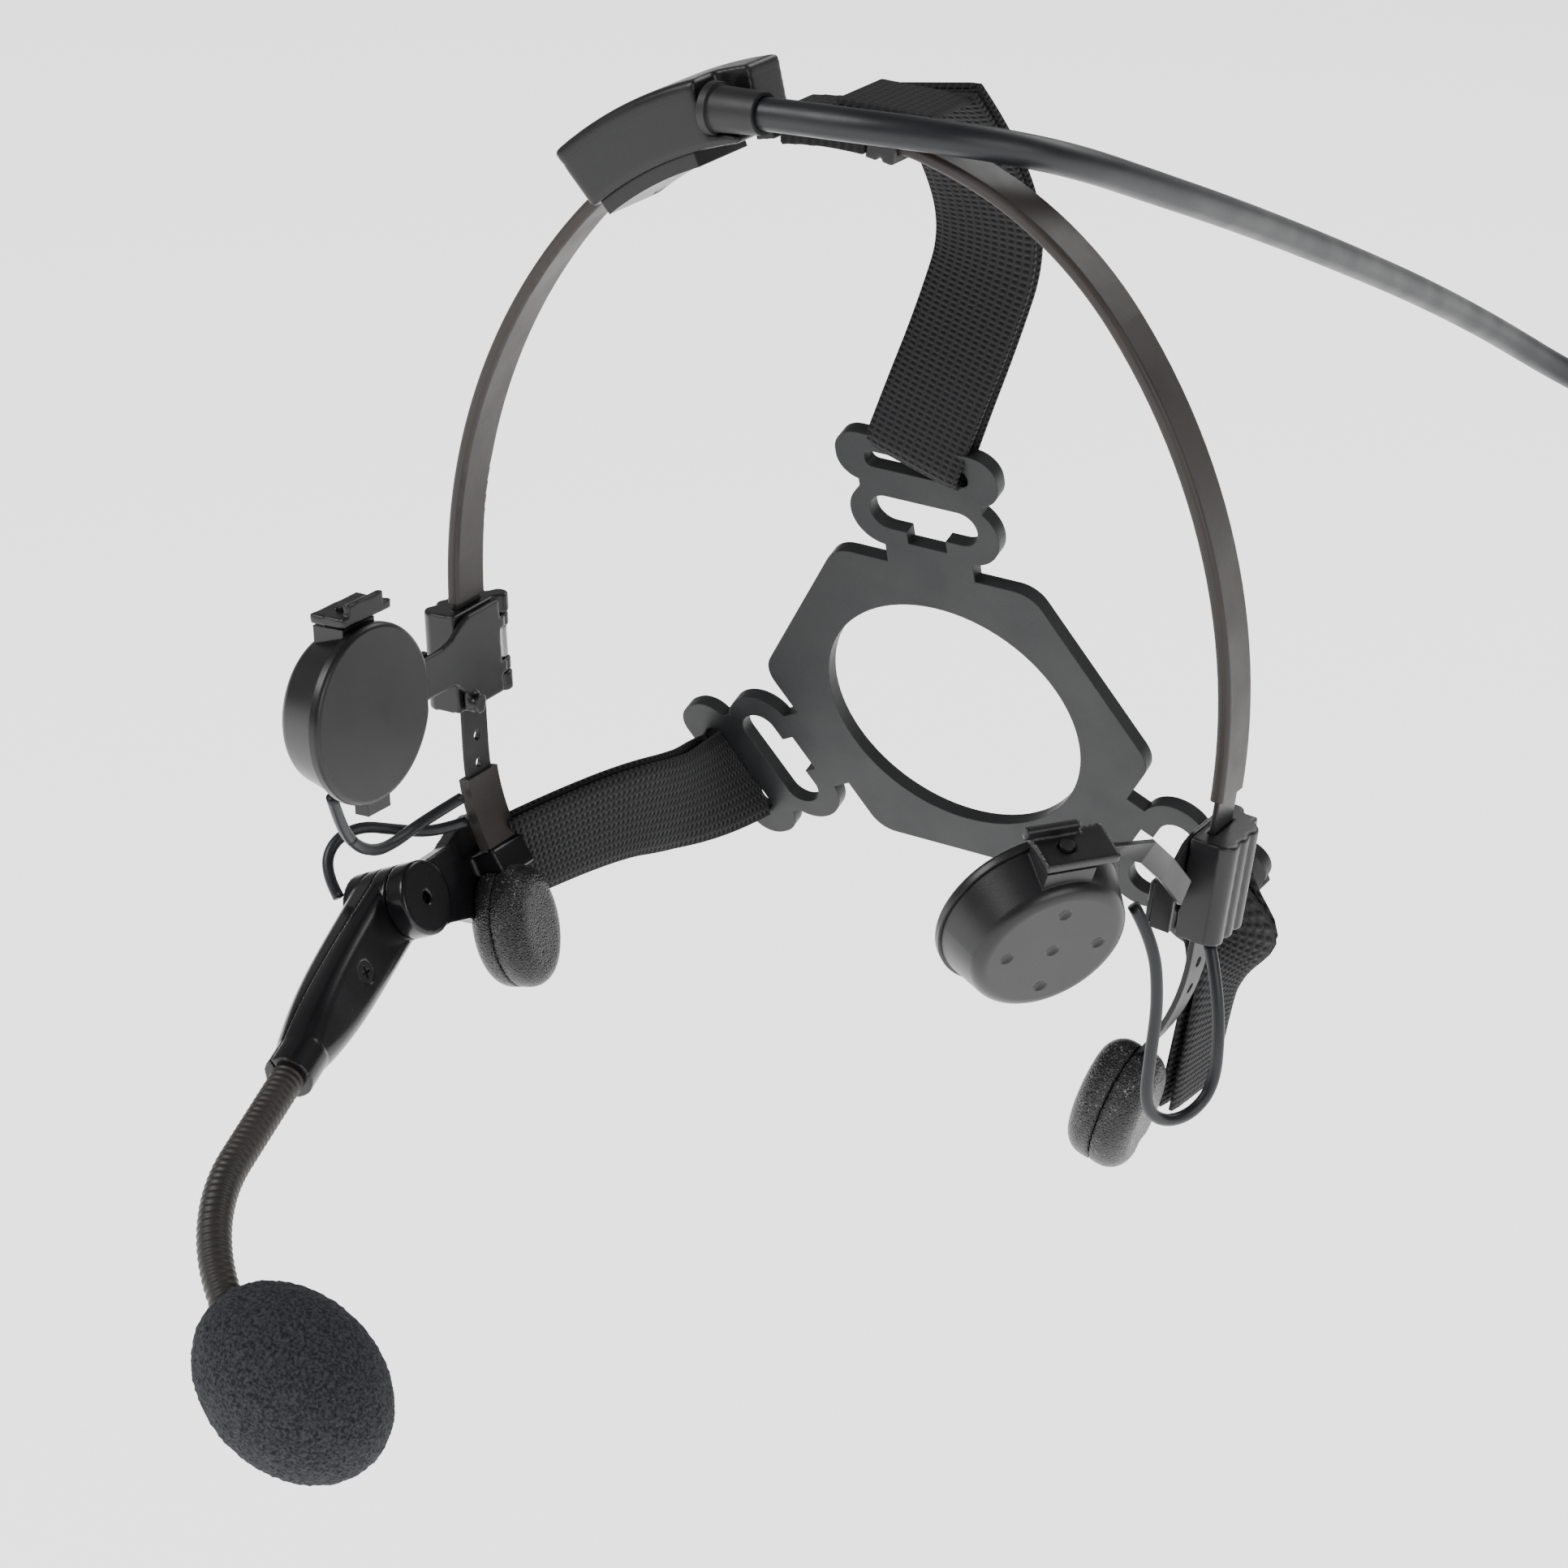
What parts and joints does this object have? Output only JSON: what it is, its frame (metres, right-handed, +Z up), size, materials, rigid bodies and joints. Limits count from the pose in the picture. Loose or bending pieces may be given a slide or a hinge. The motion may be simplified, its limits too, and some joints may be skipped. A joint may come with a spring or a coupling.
{
  "type": "headset microphone",
  "caption": "Single-headband intercom headset with swing-out earphones on sliding blocks, rear strap ring, pivoting boom microphone with foam windscreen, and a cable stored as a tied hank.",
  "frame": {"origin": "centre of the wearer's head, midway between the ears, in the plane of the headband arch", "axes": "+Z up through the crown, +Y to the back of the head, +X to the wearer's left; the boom microphone is on the -X side"},
  "size_m": [0.2027, 0.4058, 0.3821],
  "materials": {
    "moulded_black": "satin moulded near-black plastic",
    "boom_black": "semi-gloss black plastic",
    "spring_strip": "dark coated spring steel strip",
    "heat_shrink": "matte brownish-grey shrink tube",
    "ring_plastic": "matte dark grey flexible plastic",
    "webbing": "ribbed charcoal webbing",
    "leather_pad": "grained black padding",
    "foam": "open-cell dark grey foam",
    "cable_rubber": "matte black cable jacket",
    "soft_rubber": "black rubber",
    "dark_steel": "blackened steel",
    "bright_steel": "bare steel",
    "gooseneck_jacket": "ribbed flexible tube",
    "circuit_board": "green circuit board",
    "tie_fabric": "black hook-and-loop tie"
  },
  "bodies": {
    "root": {"band_core": "spring_strip", "boom_bracket": "boom_black", "boom_pivot_screw": "dark_steel", "boom_sleeve": "heat_shrink", "cable_hank": "cable_rubber", "cable_tail": "cable_rubber", "cable_tie": "tie_fabric", "heat_shrink_left": "heat_shrink", "heat_shrink_right": "heat_shrink", "junction_box_body": "moulded_black", "junction_box_lid": "moulded_black", "junction_box_plate": "moulded_black", "junction_box_screws": "bright_steel", "left_ear_lead": "cable_rubber", "left_pad_inner": "leather_pad", "left_pad_outer": "leather_pad", "left_strap": "webbing", "main_cable": "cable_rubber", "mic_lead": "cable_rubber", "plug_insert": "moulded_black", "plug_shell": "dark_steel", "rear_ring": "ring_plastic", "right_pad_inner": "leather_pad", "right_pad_outer": "leather_pad", "right_strap": "webbing", "rubber_collar": "soft_rubber", "strain_relief": "soft_rubber", "strap_keeper": "soft_rubber", "strap_wrap": "webbing", "terminal_board": "circuit_board", "top_strap": "webbing"},
    "left_slider": {"left_slider_block": "moulded_black", "left_hinge_pin": "bright_steel", "left_hinge_spring": "bright_steel"},
    "left_arm": {"left_arm_plate": "moulded_black", "left_arm_bracket": "dark_steel", "left_arm_screw": "dark_steel", "left_arm_strip": "dark_steel", "left_ear_clip": "moulded_black"},
    "left_ear": {"left_ear_shell": "moulded_black", "left_ear_cover": "moulded_black", "left_ear_driver": "moulded_black"},
    "right_slider": {"right_slider_block": "moulded_black", "right_hinge_pin": "bright_steel", "right_hinge_spring": "bright_steel", "right_ear_lead": "cable_rubber"},
    "right_arm": {"right_arm_plate": "moulded_black", "right_arm_bracket": "dark_steel", "right_arm_screw": "dark_steel", "right_arm_strip": "dark_steel", "right_ear_clip": "moulded_black"},
    "right_ear": {"right_ear_shell": "moulded_black", "right_ear_cover": "moulded_black", "right_ear_driver": "moulded_black"},
    "boom": {"boom_shell_inner": "boom_black", "boom_shell_outer": "boom_black", "boom_screw": "dark_steel", "gooseneck": "gooseneck_jacket", "mic_capsule": "dark_steel", "windscreen": "foam"}
  },
  "joints": [
    {"name": "left_slide", "type": "slide", "parent": "root", "child": "left_slider", "axis": [0.0872, 0, -0.9962], "range_m": [0, 0.008], "deforming": ["left_ear_lead"]},
    {"name": "left_door", "type": "hinge", "parent": "left_slider", "child": "left_arm", "pos_m": [-0.075, 0.008, 0.00012], "axis": [-0.0872, 0, 0.9962], "range_deg": [0, 30], "deforming": ["left_ear_lead"]},
    {"name": "left_ear_swivel", "type": "hinge", "parent": "left_arm", "child": "left_ear", "pos_m": [-0.07247, -0.04373, 0.00101], "axis": [-0.0897, 0.0045, 0.996], "range_deg": [-15, 4], "deforming": ["left_ear_lead"]},
    {"name": "right_slide", "type": "slide", "parent": "root", "child": "right_slider", "axis": [-0.0872, 0, -0.9962], "range_m": [-0.005, 0.003], "deforming": ["right_ear_lead"]},
    {"name": "right_door", "type": "hinge", "parent": "right_slider", "child": "right_arm", "pos_m": [0.07457, 0.008, -0.00486], "axis": [-0.0872, 0, -0.9962], "range_deg": [0, 30], "deforming": ["right_ear_lead"]},
    {"name": "right_ear_swivel", "type": "hinge", "parent": "right_arm", "child": "right_ear", "pos_m": [0.0638, -0.04309, -0.00426], "axis": [0.3083, -0.212, 0.9274], "range_deg": [-4, 15], "deforming": ["right_ear_lead"]},
    {"name": "boom_pivot", "type": "hinge", "parent": "root", "child": "boom", "pos_m": [-0.07, -0.0223, -0.0434], "axis": [0.8977, 0.034, 0.4393], "range_deg": [-100, 20], "deforming": ["mic_lead"]}
  ]
}
